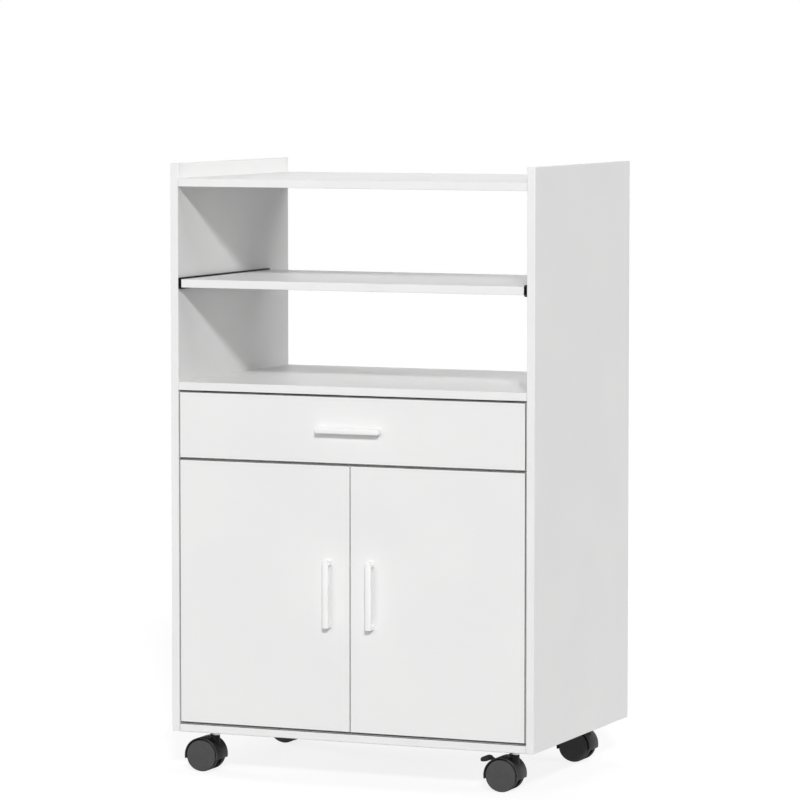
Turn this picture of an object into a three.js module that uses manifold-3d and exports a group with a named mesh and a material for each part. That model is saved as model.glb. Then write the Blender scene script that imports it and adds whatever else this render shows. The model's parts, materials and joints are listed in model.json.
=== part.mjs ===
// A white microwave cart on casters: two side panels hold a top shelf, a pull-out shelf in black slides,
// a fixed shelf, a drawer and a two-door cabinet. Millimetres, +Z up, front towards -Y. The origin is on
// the floor, in the middle of the cart's outer box.
import * as THREE from "three";
import { mergeVertices } from "three/addons/utils/BufferGeometryUtils.js";
import Module from "manifold-3d";

const wasm = await Module();
wasm.setup();

// ---- Driving sizes ----

// Carcass. Heights in this section are measured from the carcass underside.
const cartWidth = 600;
const carcassDepth = 411; // front edge to rear edge of the side panels
const sideHeight = 878;
const board = 12.7; // thickness of the carcass boards
const sideRise = 22.7; // side panels above the top shelf
const pullOutShelfTop = 700.4;
const fixedShelfTop = 542.5;
const backThickness = 3;
const railDepth = 60; // rail behind the line between the drawer and the doors
const railOverlap = 4; // height by which the rail stands behind the drawer front
const railSetback = 1.5; // rail behind the back of the doors
const seat = 0.2; // gap between pieces that are fastened to each other

// Drawer front and doors, set flush into the front of the carcass
const faceThickness = 15;
const faceGap = 2.4; // above and below the drawer front and the doors
const sideGap = 1.7; // between them and the side panels
const middleGap = 1.8; // between the two doors
const drawerFrontHeight = 102;

// Drawer box
const drawerBoard = 12;
const drawerSideHeight = 70;
const drawerRearSpace = 42.8; // between the drawer box and the cabinet's back
const drawerBoxRise = 14; // box above the lower edge of the drawer front
const drawerBottomThickness = 3;
const drawerBottomRise = 8; // bottom above the lower edge of the drawer sides
const grooveDepth = 5;
const grooveSlack = 0.5;

// Slides: a channel on the side panel and a smaller one that runs in it
const drawerSlideSpace = 12.7;
const drawerSlideHeight = 35;
const shelfSlideSpace = 5.3;
const shelfSlideHeight = 17.5;
const shelfRearSpace = 81; // between the shelf and the rear edge of the side panels
const slideGauge = 1.2;
const slideClearance = 0.4;
const slideFrontInset = 0.5; // shelf slides behind the front plane

// Handles
const handleLength = 104;
const handleWidth = 9;
const handleProjection = 15;
const handleBar = 5; // thickness of the bar in front of the fingers
const handleFoot = 8;
const handleCorner = 4;
const handleInnerCorner = 3;
const handleBevel = 0.8;
const doorHandleInset = 35.3; // centre of a door handle from the middle of the cart
const doorHandleRise = 7; // above the middle of the door

// Concealed hinges and the magnetic catch
const hingeFromEnd = 75; // hinge centre from the upper or lower end of the door
const cupRadius = 17.4;
const cupDepth = 11.4;
const cupSlack = 0.3;
const cupFromEdge = 22.5; // cup centre from the door's outer edge
const cupFlange = { width: 21, height: 62, thickness: 1.2 };
const cupPocket = { width: 22, height: 20, depth: 9 };
const armHeight = 12;
const armPlate = { thickness: 2.5, depth: 36, height: 50, setback: 37 };
const armGap = 0.4; // between the arm's tip and the cup's flange
const armTipInset = 4; // tip inside each edge of the cup's pocket
const armTail = 26; // rear end behind the middle of the plate
const armRise = 8; // rear end above the plate
const catchSize = { width: 48, depth: 13, height: 12 };
const strikeSize = { width: 18, thickness: 1.2, height: 12 };
const strikeFromMiddle = 4;
const catchGap = 0.5;

// Casters
const casterInset = 50; // swivel axis from the front, rear and outer faces of the carcass
const trail = 15.8; // wheel axle behind the swivel axis
const wheelRadius = 25;
const wheelWidth = 13.4;
const wheelEdge = 0.8; // chamfer of the tread
const wheelFlats = 24;
const casterWidth = 40; // over both wheels
const wheelClearance = 1; // between a wheel and the hood around it
const hoodWall = 1.5;
const hoodDrop = 5.5; // lower edge of the hood below the axle
const hoodWeb = 12; // wall between the wheels
const bossRadius = 9;
const bossRise = 3; // boss above the hood
const kingpinRadius = 4;
const kingpinRise = 7; // kingpin's lower end above the axle
const axleRadius = 3;
const pinSlack = 0.4;
const plateSize = 38;
const plateThickness = 2;
const plateCorner = 4;
const plateHoleSpacing = 28;
const plateHoleRadius = 2.25;
const racewayRadius = 10;
const racewayHeight = 9; // from the boss to the plate
const racewayGap = 0.6;

// Brake lever. Its places are measured from the point of the hood's rim at this angle.
const leverAngle = THREE.MathUtils.degToRad(130);
const leverPivot = { x: 3.7, z: -4.1 };
const leverNeckWidth = 6;
const leverPaddleWidth = 16;
const leverBarrelRadius = 3.2;
const leverPinRadius = 1.4;
const leverSlotSlack = 0.5;
const leverSlot = { behind: 14, above: 16, round: 5 }; // reach of the slot from the pivot

// ---- Worked-out places ----

const innerHalf = cartWidth / 2 - board;
const frontFace = (handleProjection - carcassDepth) / 2;
const topShelfTop = sideHeight - sideRise;
const fixedShelfBottom = fixedShelfTop - board;
const drawerFrontTop = fixedShelfBottom - faceGap;
const drawerFrontBottom = drawerFrontTop - drawerFrontHeight;
const doorTop = drawerFrontBottom - faceGap;
const doorBottom = board + faceGap;
const doorOuterEdge = innerHalf - sideGap;
const railTop = drawerFrontBottom + railOverlap;
const railBottom = railTop - board;
const backFront = carcassDepth - backThickness; // front face of the cabinet's back
const shelfDepthToBack = backFront - seat;
const pullOutShelfDepth = carcassDepth - shelfRearSpace;
const hoodRadius = wheelRadius + wheelClearance + hoodWall;
const bossTop = wheelRadius + hoodRadius + bossRise;
const casterHeight = bossTop + racewayHeight + plateThickness; // floor to the carcass underside
const kingpinEnd = wheelRadius + kingpinRise;
const leverX = hoodRadius * Math.cos(leverAngle) - trail;
const leverZ = hoodRadius * Math.sin(leverAngle) + wheelRadius;

// ---- Materials ----

function paint(color, roughness, metalness = 0) {
  return new THREE.MeshStandardMaterial({ color, roughness, metalness });
}

const laminate = paint(0xececec, 0.45);
const hardboard = paint(0xe4e2de, 0.6);
const handleEnamel = paint(0xf6f6f6, 0.2, 0.1);
const slideBlack = paint(0x2a2a2b, 0.4, 0.6);
const zinc = paint(0xb9bcc0, 0.35, 0.9);
const hoodPlastic = paint(0x2c2c2d, 0.45);
const wheelPlastic = paint(0x4b4b4c, 0.55);
const catchPlastic = paint(0xe8e8e6, 0.5);

// ---- Shape helpers ----

// A block from its lowest to its highest corner.
function block(low, high) {
  const size = high.map((value, i) => value - low[i]);
  const middle = high.map((value, i) => (value + low[i]) / 2);
  return new THREE.BoxGeometry(...size).translate(...middle);
}

// The same block on the left (side -1) or the right (side 1) of the cart: x runs out from the middle.
function sideBlock(side, low, high) {
  const across = [side * low[0], side * high[0]].sort((a, b) => a - b);
  return block([across[0], low[1], low[2]], [across[1], high[1], high[2]]);
}

function extruded(shape, depth, curveSegments = 8) {
  return new THREE.ExtrudeGeometry(shape, { depth, curveSegments, bevelEnabled: false });
}

// An outline in X and Z, extruded from y0 to y1.
function prismAlongY(shape, y0, y1, curveSegments) {
  return extruded(shape, y1 - y0, curveSegments).rotateX(Math.PI / 2).translate(0, y1, 0);
}

function outline(points) {
  return new THREE.Shape(points.map(([x, y]) => new THREE.Vector2(x, y)));
}

// Cylinders along Y and along Z, from the first end to the second.
function rodAlongY(radius, x, z, y0, y1, sides = 20) {
  return new THREE.CylinderGeometry(radius, radius, y1 - y0, sides).translate(x, (y0 + y1) / 2, z);
}

function rodAlongZ(radius, x, y, z0, z1, sides = 20) {
  const rod = new THREE.CylinderGeometry(radius, radius, z1 - z0, sides);
  return rod.rotateX(Math.PI / 2).translate(x, y, (z0 + z1) / 2);
}

function solidOf(geometry) {
  const bare = geometry.clone();
  bare.deleteAttribute("normal");
  bare.deleteAttribute("uv");
  const merged = mergeVertices(bare, 1e-4);
  return new wasm.Manifold(
    new wasm.Mesh({
      numProp: 3,
      vertProperties: merged.attributes.position.array,
      triVerts: new Uint32Array(merged.index.array),
    }),
  );
}

function geometryOf(solid) {
  const mesh = solid.getMesh();
  const geometry = new THREE.BufferGeometry();
  geometry.setAttribute("position", new THREE.BufferAttribute(mesh.vertProperties, 3));
  geometry.setIndex(new THREE.BufferAttribute(mesh.triVerts, 1));
  geometry.computeVertexNormals();
  return geometry;
}

function joined(...geometries) {
  return geometryOf(geometries.map(solidOf).reduce((whole, next) => whole.add(next)));
}

function cut(geometry, ...tools) {
  return geometryOf(tools.map(solidOf).reduce((rest, tool) => rest.subtract(tool), solidOf(geometry)));
}

function place(group, name, geometry, material) {
  const mesh = new THREE.Mesh(geometry, material);
  mesh.name = name;
  group.add(mesh);
}

// ---- Carcass ----

// A board that spans the inside of the carcass.
function spanningBoard(y0, y1, z0, z1) {
  const half = innerHalf - seat;
  return block([-half, y0, z0], [half, y1, z1]);
}

function addCarcass(cabinet) {
  for (const [name, side] of [["left_side_panel", -1], ["right_side_panel", 1]]) {
    const panel = sideBlock(side, [innerHalf, 0, 0], [cartWidth / 2, carcassDepth, sideHeight]);
    place(cabinet, name, panel, laminate);
  }
  place(cabinet, "top_shelf", spanningBoard(0, carcassDepth, topShelfTop - board, topShelfTop), laminate);
  const fixedShelf = spanningBoard(0, shelfDepthToBack, fixedShelfBottom, fixedShelfTop);
  place(cabinet, "fixed_shelf", fixedShelf, laminate);
  place(cabinet, "bottom_panel", spanningBoard(0, shelfDepthToBack, 0, board), laminate);
  const railFront = faceThickness + railSetback;
  const rail = spanningBoard(railFront, railFront + railDepth, railBottom, railTop);
  place(cabinet, "divider_rail", rail, laminate);
  const back = spanningBoard(backFront, carcassDepth, 0, fixedShelfTop);
  place(cabinet, "back_panel", back, hardboard);
}

// ---- Slides ----

// Outlines of the two channels in X and Z, on the right: x runs from the board's end to the side panel.
function outerChannel(space, height) {
  const wall = space - seat;
  const lip = 0.6;
  const low = -height / 2;
  const high = height / 2;
  return outline([
    [wall, low],
    [wall, high],
    [lip, high],
    [lip, high - slideGauge],
    [wall - slideGauge, high - slideGauge],
    [wall - slideGauge, low + slideGauge],
    [lip, low + slideGauge],
    [lip, low],
  ]);
}

function innerChannel(space, height) {
  const reach = space - seat - slideGauge - slideClearance;
  const high = height / 2 - slideGauge - slideClearance;
  const low = -high;
  return outline([
    [seat, low],
    [reach, low],
    [reach, low + slideGauge],
    [seat + slideGauge, low + slideGauge],
    [seat + slideGauge, high - slideGauge],
    [reach, high - slideGauge],
    [reach, high],
    [seat, high],
  ]);
}

// One slide member at height z, on the left or the right of the cart.
function slideMember(shape, side, space, z, y0, y1) {
  const member = prismAlongY(shape, y0, y1);
  if (side < 0) member.rotateZ(Math.PI).translate(0, y0 + y1, 0);
  return member.translate(side * (innerHalf - space), 0, z);
}

function addSlides(cabinet, label, space, height, z, y0, y1) {
  for (const [sideName, side] of [["left", -1], ["right", 1]]) {
    const outer = slideMember(outerChannel(space, height), side, space, z, y0, y1);
    place(cabinet, `${sideName}_${label}_slide_outer`, outer, slideBlack);
    const inner = slideMember(innerChannel(space, height), side, space, z, y0, y1);
    place(cabinet, `${sideName}_${label}_slide_inner`, inner, slideBlack);
  }
}

// ---- Pull-out shelf ----

function addPullOutShelf(cabinet) {
  const half = innerHalf - shelfSlideSpace;
  const shelfBottom = pullOutShelfTop - board;
  const shelf = block([-half, 0, shelfBottom], [half, pullOutShelfDepth, pullOutShelfTop]);
  place(cabinet, "pull_out_shelf", shelf, laminate);
  const middle = pullOutShelfTop - board / 2;
  const rear = pullOutShelfDepth;
  addSlides(cabinet, "shelf", shelfSlideSpace, shelfSlideHeight, middle, slideFrontInset, rear);
}

// ---- Handles ----

// A bar handle along X that stands out towards -Y from the plane y = 0.
function handle() {
  const half = handleLength / 2;
  const top = handleProjection;
  const under = top - handleBar;
  const footEnd = half - handleFoot;
  const shape = new THREE.Shape();
  shape.moveTo(-half, seat);
  shape.lineTo(-footEnd, seat);
  const inside = handleInnerCorner;
  shape.absarc(-footEnd + inside, under - inside, inside, Math.PI, Math.PI / 2, true);
  shape.absarc(footEnd - inside, under - inside, inside, Math.PI / 2, 0, true);
  shape.lineTo(footEnd, seat);
  shape.lineTo(half, seat);
  shape.absarc(half - handleCorner, top - handleCorner, handleCorner, 0, Math.PI / 2, false);
  shape.absarc(-half + handleCorner, top - handleCorner, handleCorner, Math.PI / 2, Math.PI, false);
  const bar = new THREE.ExtrudeGeometry(shape, {
    depth: handleWidth - 2 * handleBevel,
    bevelThickness: handleBevel,
    bevelSize: handleBevel,
    bevelOffset: -handleBevel,
    bevelSegments: 1,
    curveSegments: 4,
  });
  return bar.translate(0, 0, handleBevel - handleWidth / 2).rotateX(Math.PI);
}

// ---- Drawer ----

function addDrawer(cabinet) {
  const boxBottom = drawerFrontBottom + drawerBoxRise;
  const boxTop = boxBottom + drawerSideHeight;
  const boxFront = faceThickness + seat;
  const boxRear = backFront - drawerRearSpace;
  const outerHalf = innerHalf - drawerSlideSpace;
  const clearHalf = outerHalf - drawerBoard;
  const bottomLow = boxBottom + drawerBottomRise;
  const bottomHigh = bottomLow + drawerBottomThickness;
  const groove = block(
    [-(clearHalf + grooveDepth), faceThickness - grooveDepth, bottomLow - grooveSlack / 2],
    [clearHalf + grooveDepth, boxRear + grooveSlack, bottomHigh + grooveSlack / 2],
  );

  const front = block(
    [-doorOuterEdge, 0, drawerFrontBottom],
    [doorOuterEdge, faceThickness, drawerFrontTop],
  );
  place(cabinet, "drawer_front", cut(front, groove), laminate);
  for (const [name, side] of [["drawer_side_left", -1], ["drawer_side_right", 1]]) {
    const plank = sideBlock(side, [clearHalf, boxFront, boxBottom], [outerHalf, boxRear, boxTop]);
    place(cabinet, name, cut(plank, groove), laminate);
  }
  const backHalf = clearHalf - seat;
  const back = block(
    [-backHalf, boxRear - drawerBoard, bottomHigh + seat],
    [backHalf, boxRear, boxTop],
  );
  place(cabinet, "drawer_back", back, laminate);
  const bottomHalf = clearHalf + grooveDepth - grooveSlack;
  const bottom = block(
    [-bottomHalf, faceThickness - grooveDepth + grooveSlack, bottomLow],
    [bottomHalf, boxRear, bottomHigh],
  );
  place(cabinet, "drawer_bottom", bottom, hardboard);

  const middle = (boxBottom + boxTop) / 2;
  addSlides(cabinet, "drawer", drawerSlideSpace, drawerSlideHeight, middle, boxFront + seat, boxRear);
  const frontMiddle = (drawerFrontBottom + drawerFrontTop) / 2;
  place(cabinet, "drawer_handle", handle().translate(0, 0, frontMiddle), handleEnamel);
}

// ---- Doors, hinges and catch ----

// The cup of a concealed hinge, let into the back of a door, with its centre at x and z.
function hingeCup(x, z) {
  const flangeFront = faceThickness + seat;
  const flangeRear = flangeFront + cupFlange.thickness;
  const flange = block(
    [x - cupFlange.width / 2, flangeFront, z - cupFlange.height / 2],
    [x + cupFlange.width / 2, flangeRear, z + cupFlange.height / 2],
  );
  const bowl = rodAlongY(cupRadius, x, z, faceThickness - cupDepth, flangeRear, 32);
  const pocket = block(
    [x - cupPocket.width / 2, faceThickness - cupPocket.depth, z - cupPocket.height / 2],
    [x + cupPocket.width / 2, flangeRear + 1, z + cupPocket.height / 2],
  );
  return cut(joined(flange, bowl), pocket);
}

// The hinge's mounting plate and cranked arm on the side panel, ending just behind the cup. The outline
// runs in X and Y on the left, with x measured from the side panel.
function hingeArm(side, z) {
  const tip = faceThickness + seat + cupFlange.thickness + armGap;
  const cup = sideGap + cupFromEdge;
  const plateMiddle = faceThickness + armPlate.setback;
  const plateTop = seat + armPlate.thickness;
  const tipHalf = cupPocket.width / 2 - armTipInset;
  const shape = outline([
    [plateTop, plateMiddle + armTail],
    [plateTop, plateMiddle - 4],
    [cup - tipHalf - 5, tip + 10],
    [cup - tipHalf, tip],
    [cup + tipHalf, tip],
    [cup + tipHalf, tip + 7],
    [plateTop + armRise + 2, plateMiddle],
    [plateTop + armRise, plateMiddle + armTail],
  ]);
  const arm = extruded(shape, armHeight).translate(0, 0, -armHeight / 2);
  const plate = block(
    [seat, plateMiddle - armPlate.depth / 2, -armPlate.height / 2],
    [plateTop + 0.5, plateMiddle + armPlate.depth / 2, armPlate.height / 2],
  );
  const hinge = joined(arm, plate).translate(-innerHalf, 0, z);
  return side < 0 ? hinge : mirroredX(hinge);
}

// The same shape on the other side of the cart, with its faces still pointing out.
function mirroredX(geometry) {
  const mirrored = geometry.toNonIndexed().scale(-1, 1, 1);
  const { array } = mirrored.attributes.position;
  for (let i = 0; i < array.length; i += 9) {
    const second = array.slice(i + 3, i + 6);
    array.copyWithin(i + 3, i + 6, i + 9);
    array.set(second, i + 6);
  }
  mirrored.computeVertexNormals();
  return mirrored;
}

function addDoor(cabinet, sideName, side) {
  const cupX = side * (doorOuterEdge - cupFromEdge);
  const hinges = [["upper", doorTop - hingeFromEnd], ["lower", doorBottom + hingeFromEnd]];
  const bores = hinges.map(([, z]) =>
    rodAlongY(cupRadius + cupSlack, cupX, z, faceThickness - cupDepth - cupSlack, faceThickness + 1, 32),
  );
  const panel = sideBlock(side, [middleGap / 2, 0, doorBottom], [doorOuterEdge, faceThickness, doorTop]);
  place(cabinet, `${sideName}_door`, cut(panel, ...bores), laminate);
  for (const [level, z] of hinges) {
    place(cabinet, `${sideName}_${level}_hinge_cup`, hingeCup(cupX, z), zinc);
    place(cabinet, `${sideName}_${level}_hinge_arm`, hingeArm(side, z), zinc);
  }

  const handleMiddle = (doorBottom + doorTop) / 2 + doorHandleRise;
  const bar = handle().rotateY(Math.PI / 2).translate(side * doorHandleInset, 0, handleMiddle);
  place(cabinet, `${sideName}_door_handle`, bar, handleEnamel);

  const strikeFront = faceThickness + seat;
  const strikeHigh = railBottom - seat;
  const strike = sideBlock(
    side,
    [strikeFromMiddle, strikeFront, strikeHigh - strikeSize.height],
    [strikeFromMiddle + strikeSize.width, strikeFront + strikeSize.thickness, strikeHigh],
  );
  place(cabinet, `${sideName}_strike_plate`, strike, zinc);
}

function addCatch(cabinet) {
  const front = faceThickness + seat + strikeSize.thickness + catchGap;
  const high = railBottom - seat;
  const body = block(
    [-catchSize.width / 2, front, high - catchSize.height],
    [catchSize.width / 2, front + catchSize.depth, high],
  );
  place(cabinet, "magnetic_catch", body, catchPlastic);
}

// ---- Casters ----
// A caster's own frame has its origin on the floor under the swivel axis. Its wheels trail towards -X.

function casterPlate() {
  const top = casterHeight - seat;
  const low = top - plateThickness;
  const half = plateSize / 2;
  const inner = half - plateCorner;
  const square = new THREE.Shape();
  square.absarc(inner, inner, plateCorner, 0, Math.PI / 2, false);
  square.absarc(-inner, inner, plateCorner, Math.PI / 2, Math.PI, false);
  square.absarc(-inner, -inner, plateCorner, Math.PI, 1.5 * Math.PI, false);
  square.absarc(inner, -inner, plateCorner, 1.5 * Math.PI, 2 * Math.PI, false);
  const plate = extruded(square, plateThickness, 4).translate(0, 0, low);
  const raceway = rodAlongZ(racewayRadius, 0, 0, bossTop + racewayGap, top - plateThickness / 2);
  const kingpin = rodAlongZ(kingpinRadius, 0, 0, kingpinEnd, top - plateThickness / 2);
  const holes = [];
  for (const x of [-1, 1]) {
    for (const y of [-1, 1]) {
      const step = plateHoleSpacing / 2;
      holes.push(rodAlongZ(plateHoleRadius, x * step, y * step, low - 1, top + 1, 8));
    }
  }
  return cut(joined(plate, raceway, kingpin), ...holes);
}

function casterHood(braked) {
  const half = casterWidth / 2;
  const axle = wheelRadius;
  const shell = rodAlongY(hoodRadius, -trail, axle, -half, half, 48);
  const boss = rodAlongZ(bossRadius, 0, 0, axle, bossTop);
  const below = block(
    [-trail - hoodRadius - 1, -half - 1, axle - hoodRadius - 1],
    [-trail + hoodRadius + 1, half + 1, axle - hoodDrop],
  );
  const wells = [-1, 1].map((end) => {
    const ends = [(end * hoodWeb) / 2, end * (half + 1)].sort((a, b) => a - b);
    return rodAlongY(hoodRadius - hoodWall, -trail, axle, ends[0], ends[1], 48);
  });
  const kingpinBore = rodAlongZ(kingpinRadius + pinSlack, 0, 0, kingpinEnd - 1, bossTop + 1);
  const axleBore = rodAlongY(axleRadius + pinSlack, -trail, axle, -half, half);
  const tools = [below, ...wells, kingpinBore, axleBore];
  if (braked) tools.push(...brakeSlot());
  return cut(joined(shell, boss), ...tools);
}

// The slot in the hood that the brake lever's neck passes through, and the bore of its pin.
function brakeSlot() {
  const half = leverNeckWidth / 2 + leverSlotSlack;
  const x = leverX + leverPivot.x;
  const z = leverZ + leverPivot.z;
  const slot = block(
    [x - leverSlot.behind, -half, z - leverSlot.round],
    [x + leverSlot.round, half, z + leverSlot.above],
  );
  const bore = rodAlongY(leverPinRadius + pinSlack, x, z, -hoodWeb, hoodWeb, 16);
  return [slot, bore];
}

// The lever's outlines are in the caster's own frame, in X and Z.
function brakeLever() {
  const at = (x, z) => [leverX + x, leverZ + z];
  const pivot = leverPivot;
  const neck = outline([
    at(pivot.x + 1, pivot.z + 3),
    at(pivot.x - 6, pivot.z + 7.2),
    at(pivot.x - 11, pivot.z + 8),
    at(pivot.x - 11, pivot.z + 4.4),
    at(pivot.x - 5, pivot.z + 2),
    at(pivot.x - 1, pivot.z - 2.8),
  ]);
  const paddle = new THREE.Shape();
  paddle.moveTo(...at(-4.8, -0.5));
  paddle.lineTo(...at(-4.8, 3.5));
  paddle.quadraticCurveTo(...at(-8.3, 6.3), ...at(-12.8, 5.3));
  paddle.quadraticCurveTo(...at(-18.3, 3.9), ...at(-20.8, 0.7));
  paddle.quadraticCurveTo(...at(-20.7, -0.9), ...at(-19.1, -0.7));
  paddle.quadraticCurveTo(...at(-13.3, 1.5), ...at(-4.8, -0.5));
  const neckHalf = leverNeckWidth / 2;
  const paddleHalf = leverPaddleWidth / 2;
  const [pivotX, pivotZ] = at(pivot.x, pivot.z);
  const pinHalf = hoodWeb / 2 - seat;
  return joined(
    prismAlongY(neck, -neckHalf, neckHalf),
    prismAlongY(paddle, -paddleHalf, paddleHalf, 5),
    rodAlongY(leverBarrelRadius, pivotX, pivotZ, -neckHalf, neckHalf, 16),
    rodAlongY(leverPinRadius, pivotX, pivotZ, -pinHalf, pinHalf, 12),
  );
}

// A wheel whose outer face is at y = 0 and whose inner face is at y = wheelWidth. It stands on a flat.
function wheel() {
  const rim = wheelRadius / Math.cos(Math.PI / wheelFlats);
  const boreRadius = axleRadius + pinSlack;
  const boreEnd = 4;
  const hubRadius = 8;
  const dishEnd = 5;
  const treadInside = 21;
  const profile = [
    [0, 0],
    [rim - wheelEdge, 0],
    [rim, wheelEdge],
    [rim, wheelWidth - wheelEdge],
    [rim - wheelEdge, wheelWidth],
    [treadInside, wheelWidth],
    [treadInside, dishEnd],
    [hubRadius, dishEnd],
    [hubRadius, wheelWidth],
    [boreRadius, wheelWidth],
    [boreRadius, boreEnd],
    [0, boreEnd],
  ];
  const points = profile.map(([x, y]) => new THREE.Vector2(x, y));
  return new THREE.LatheGeometry(points, wheelFlats, Math.PI / wheelFlats);
}

function addCaster(cart, corner, x, y, braked) {
  const caster = new THREE.Group();
  caster.position.set(x, y, 0);
  cart.add(caster);
  const half = casterWidth / 2;
  const axleHalf = half - 5;
  place(caster, `${corner}_caster_plate`, casterPlate(), zinc);
  place(caster, `${corner}_caster_hood`, casterHood(braked), hoodPlastic);
  const axle = rodAlongY(axleRadius, -trail, wheelRadius, -axleHalf, axleHalf);
  place(caster, `${corner}_caster_axle`, axle, zinc);
  const fore = wheel().translate(-trail, -half, wheelRadius);
  place(caster, `${corner}_fore_wheel`, fore, wheelPlastic);
  const aft = wheel().rotateZ(Math.PI).translate(-trail, half, wheelRadius);
  place(caster, `${corner}_aft_wheel`, aft, wheelPlastic);
  if (braked) place(caster, `${corner}_brake_lever`, brakeLever(), hoodPlastic);
}

function addCasters(cart) {
  const across = cartWidth / 2 - casterInset;
  const front = frontFace + casterInset;
  const rear = frontFace + carcassDepth - casterInset;
  for (const [end, y] of [["front", front], ["rear", rear]]) {
    addCaster(cart, `${end}_left`, -across, y, false);
    addCaster(cart, `${end}_right`, across, y, true);
  }
}

// ---- The cart ----

const cart = new THREE.Group();
const cabinet = new THREE.Group();
cabinet.position.set(0, frontFace, casterHeight);
cart.add(cabinet);
addCarcass(cabinet);
addPullOutShelf(cabinet);
addDrawer(cabinet);
addDoor(cabinet, "left", -1);
addDoor(cabinet, "right", 1);
addCatch(cabinet);
addCasters(cart);

export default cart;
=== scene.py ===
"""The looks of the white microwave cart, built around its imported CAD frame.

All places are in metres in the frame's own axes: +Z up, front towards -Y, the floor at z = 0. Boards, slides,
hinges and the catch are eased copies of their CAD nodes. Handles, hoods, wheels, levers and swivel plates are
modelled again in the same place with their real roundings. Screws, cam locks, nails and the ribs in the
wheels come from Geometry Nodes.
"""
import json
import math

import bmesh
import bpy
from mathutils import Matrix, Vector


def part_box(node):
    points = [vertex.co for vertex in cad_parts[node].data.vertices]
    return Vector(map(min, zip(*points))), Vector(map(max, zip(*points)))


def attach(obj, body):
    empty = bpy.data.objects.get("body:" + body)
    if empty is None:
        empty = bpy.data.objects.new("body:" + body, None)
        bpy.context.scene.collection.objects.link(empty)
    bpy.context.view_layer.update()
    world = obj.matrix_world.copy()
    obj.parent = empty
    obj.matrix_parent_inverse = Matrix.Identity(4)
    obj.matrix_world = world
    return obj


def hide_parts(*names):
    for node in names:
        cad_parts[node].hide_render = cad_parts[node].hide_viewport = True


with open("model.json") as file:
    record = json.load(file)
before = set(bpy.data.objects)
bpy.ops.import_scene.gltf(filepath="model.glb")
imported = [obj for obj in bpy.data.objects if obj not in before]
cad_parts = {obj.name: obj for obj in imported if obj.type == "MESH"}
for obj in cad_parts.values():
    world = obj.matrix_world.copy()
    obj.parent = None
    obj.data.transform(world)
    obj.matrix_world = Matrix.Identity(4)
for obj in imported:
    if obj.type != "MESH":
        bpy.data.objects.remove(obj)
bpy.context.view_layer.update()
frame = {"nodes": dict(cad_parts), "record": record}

MM = 0.001
TOUCH = 0.01 * MM  # two places this near to each other are the same
X, Y, Z = 0, 1, 2
LOW, HIGH = 0, 1
DOWN = (0.0, 0.0, -1.0)
UP = (0.0, 0.0, 1.0)
BACKWARDS = (0.0, 1.0, 0.0)
CORNERS = ("front_left", "front_right", "rear_left", "rear_right")
BRAKED = ("front_right", "rear_right")
SIDES = (("left", -1), ("right", 1))

body_of_node = {
    node: body
    for body, nodes in frame["record"]["behaviour"]["bodies"].items()
    for node in nodes
}


def middle(node):
    """The centre of a CAD node's box."""
    low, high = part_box(node)
    return (low + high) / 2


# ---- Camera, light and floor ----

CAMERA_PLACE = (2.6577, -6.3015, 1.1136)
CAMERA_TURN = math.radians(22.875)  # to the left of straight ahead
CAMERA_TILT = math.radians(4.501)  # down
LENS = 198.52  # millimetres on a 36 mm sensor

# Each lamp as name, direction towards it, strength, spread in degrees, and whether it shows in gloss
LAMPS = (
    ("key", (0.5, -1.0, 0.577), 1.98, 6.0, True),
    ("side", (1.0, 0.08, 0.35), 1.18, 28.0, True),
    ("fill", (-0.22, -1.0, 0.08), 1.44, 60.0, True),
    ("left", (-1.0, 0.4, 0.3), 1.25, 20.0, False),
    ("back", (-0.3, 1.0, 0.12), 1.65, 25.0, False),
)
SKY_STRENGTH = 0.12
FLOOR_RADIUS = 14.0
FLOOR_TONE = 0.25
FLOOR_GLOW = 0.82  # added where the floor is seen, so that it shows as white as the background


def add_camera():
    data = bpy.data.cameras.new("camera")
    data.sensor_width = 36.0
    data.lens = LENS
    data.clip_end = 100.0
    camera = bpy.data.objects.new("camera", data)
    camera.location = CAMERA_PLACE
    camera.rotation_euler = (math.pi / 2 - CAMERA_TILT, 0.0, CAMERA_TURN)
    bpy.context.scene.collection.objects.link(camera)
    bpy.context.scene.camera = camera


def add_lamps():
    for name, towards, strength, spread, glossy in LAMPS:
        data = bpy.data.lights.new(name, "SUN")
        data.energy = strength
        data.angle = math.radians(spread)
        lamp = bpy.data.objects.new(name, data)
        lamp.rotation_euler = Vector(towards).to_track_quat("Z", "Y").to_euler()
        lamp.visible_glossy = glossy
        bpy.context.scene.collection.objects.link(lamp)


# ---- Node trees ----


class Nodes:
    """Short calls for adding the nodes of one tree and linking them."""

    def __init__(self, tree):
        self.tree = tree

    def feed(self, socket, value):
        if isinstance(value, bpy.types.NodeSocket):
            self.tree.links.new(value, socket)
        else:
            socket.default_value = value

    def add(self, kind, inputs=None, **settings):
        node = self.tree.nodes.new(kind)
        for name, value in settings.items():
            setattr(node, name, value)
        for key, value in (inputs or {}).items():
            self.feed(node.inputs[key], value)
        return node

    def math(self, operation, first, second):
        kind = "ShaderNodeMath"
        return self.add(kind, {0: first, 1: second}, operation=operation).outputs[0]


def seen_directly(nodes):
    """1 for rays from the camera, and for those that mirrors and glass send on; 0 for light on the object."""
    path = nodes.add("ShaderNodeLightPath").outputs
    mirrored = nodes.math("MAXIMUM", path["Is Glossy Ray"], path["Is Transmission Ray"])
    return nodes.math("MAXIMUM", path["Is Camera Ray"], mirrored)


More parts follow.
